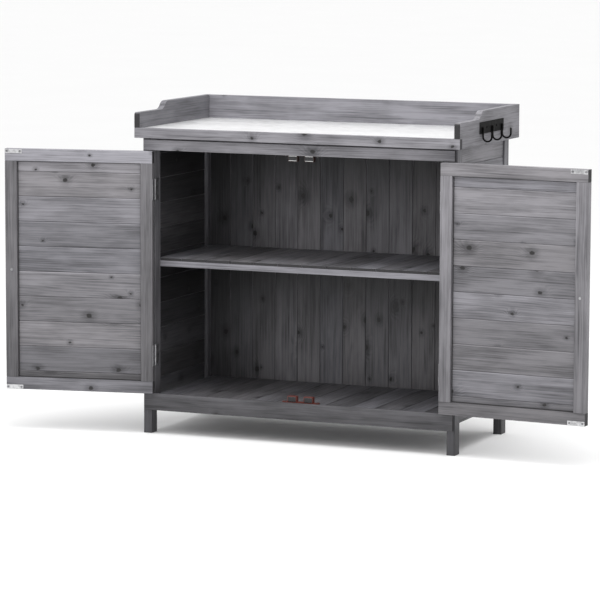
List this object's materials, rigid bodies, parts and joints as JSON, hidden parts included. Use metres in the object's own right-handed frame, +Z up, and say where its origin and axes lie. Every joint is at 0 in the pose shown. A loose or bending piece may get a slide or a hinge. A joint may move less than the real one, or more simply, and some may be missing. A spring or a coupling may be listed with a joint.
{
  "type": "potting bench",
  "caption": "Wooden potting bench: a two-door cabinet with a slatted shelf under a metal-topped tray with raised side and back edges, and a rack of hooks on one side.",
  "frame": {"origin": "on the floor under the middle of the overall box, with both doors standing open", "axes": "+X to the right as one faces the doors, +Y to the back of the bench, +Z up"},
  "size_m": [1.7493, 0.5832, 0.952],
  "materials": {
    "stained_wood": "grey-stained softwood, matt, with visible grain and knots",
    "galvanised_sheet": "thin galvanised steel sheet, dull",
    "black_metal": "satin black powder coat",
    "zinc_plate": "bright zinc-plated steel",
    "screw_steel": "zinc-plated steel, slightly darker",
    "brown_plastic": "moulded brown plastic",
    "magnet": "dull sintered ferrite"
  },
  "bodies": {
    "cabinet": {"back_boards": "stained_wood", "back_tray_board": "stained_wood", "bottom_front_rail": "stained_wood", "catch_magnets": "magnet", "catch_pole_plates": "zinc_plate", "catch_screws": "screw_steel", "fascia_board": "stained_wood", "floor_slats": "stained_wood", "frieze_rail": "stained_wood", "front_floor_bearer": "stained_wood", "front_left_post": "stained_wood", "front_right_post": "stained_wood", "head_rail": "stained_wood", "hinge_frame_screws": "screw_steel", "hinge_pins": "screw_steel", "hook_plate": "black_metal", "hook_plate_screws": "screw_steel", "hooks": "black_metal", "left_door_jamb": "stained_wood", "left_hinge_frame_leaves": "zinc_plate", "left_side_boards": "stained_wood", "left_tray_board": "stained_wood", "lower_catch_body": "brown_plastic", "metal_worktop": "galvanised_sheet", "rear_bottom_rail": "stained_wood", "rear_left_post": "stained_wood", "rear_right_post": "stained_wood", "rear_top_rail": "stained_wood", "right_door_jamb": "stained_wood", "right_hinge_frame_leaves": "zinc_plate", "right_side_boards": "stained_wood", "right_tray_board": "stained_wood", "shelf_front_batten": "stained_wood", "shelf_rear_batten": "stained_wood", "shelf_side_cleats": "stained_wood", "shelf_slats": "stained_wood", "tray_screws": "screw_steel", "upper_catch_body": "brown_plastic", "worktop_battens": "stained_wood", "worktop_boards": "stained_wood"},
    "left_door": {"left_door_bottom_rail": "stained_wood", "left_door_free_stile": "stained_wood", "left_door_hinge_stile": "stained_wood", "left_door_panel_boards": "stained_wood", "left_door_screws": "screw_steel", "left_door_top_rail": "stained_wood", "left_hinge_door_leaves": "zinc_plate", "left_knob": "black_metal", "left_knob_bolt": "screw_steel", "left_strike_plates": "zinc_plate"},
    "right_door": {"right_door_bottom_rail": "stained_wood", "right_door_free_stile": "stained_wood", "right_door_hinge_stile": "stained_wood", "right_door_panel_boards": "stained_wood", "right_door_screws": "screw_steel", "right_door_top_rail": "stained_wood", "right_hinge_door_leaves": "zinc_plate", "right_knob": "black_metal", "right_knob_bolt": "screw_steel", "right_strike_plates": "zinc_plate"}
  },
  "joints": [
    {"name": "left_door_hinge", "type": "hinge", "parent": "cabinet", "child": "left_door", "pos_m": [-0.44708, -0.17938, 0.4695], "axis": [0, 0, -1], "range_deg": [-169, 11]},
    {"name": "right_door_hinge", "type": "hinge", "parent": "cabinet", "child": "right_door", "pos_m": [0.43392, -0.17938, 0.4695], "axis": [0, 0, 1], "range_deg": [-175.6, 4.4]}
  ]
}
